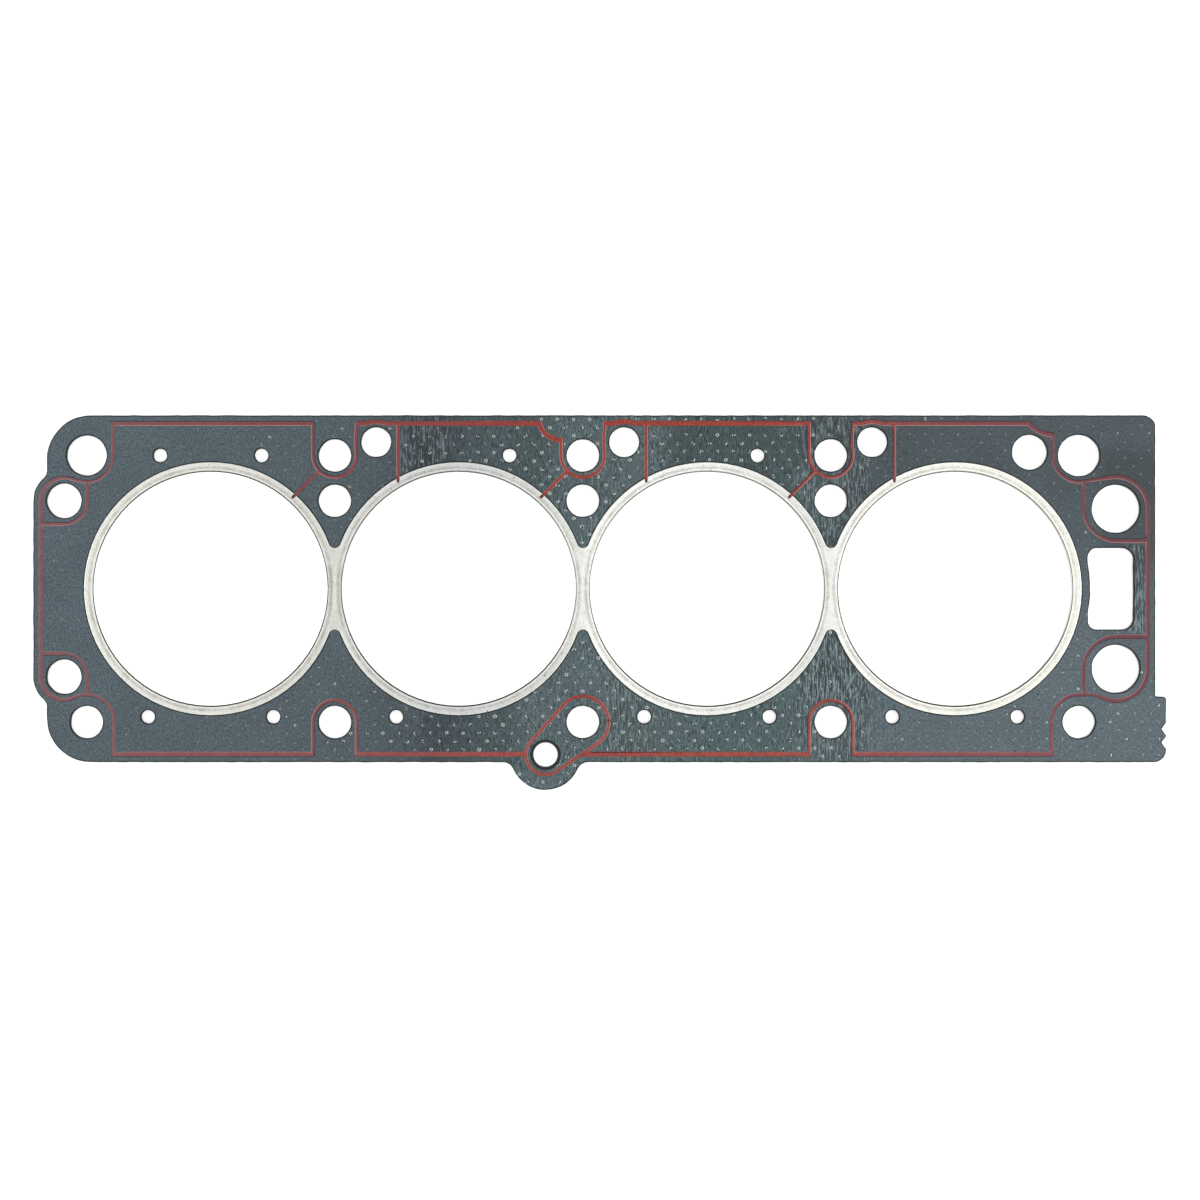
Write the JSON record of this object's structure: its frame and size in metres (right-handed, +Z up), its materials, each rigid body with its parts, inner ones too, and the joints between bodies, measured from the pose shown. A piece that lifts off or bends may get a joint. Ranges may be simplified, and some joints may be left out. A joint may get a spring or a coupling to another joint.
{
  "type": "cylinder head gasket",
  "caption": "Flat composite gasket that seals an in-line engine's cylinder head to its block, with a folded steel flange round the bores and a printed sealing bead.",
  "frame": {"origin": "centre of the head bolt pattern, half way through the steel core", "axes": "+X along the row of bores towards the end with the return slot, +Y across it towards the dowel holes, +Z up out of the head side"},
  "size_m": [0.4246, 0.1404, 0.0018],
  "materials": {
    "core_steel": "cold-rolled sheet steel",
    "facing_fibre": "pressed fibre bound with nitrile rubber, slate grey, matt",
    "flange_steel": "aluminised sheet steel, satin",
    "bead_elastomer": "printed elastomer, brick red"
  },
  "bodies": {
    "root": {"upper_facing": "facing_fibre", "steel_core": "core_steel", "lower_facing": "facing_fibre", "bore_flange": "flange_steel", "upper_sealing_bead": "bead_elastomer", "lower_sealing_bead": "bead_elastomer"}
  },
  "joints": []
}
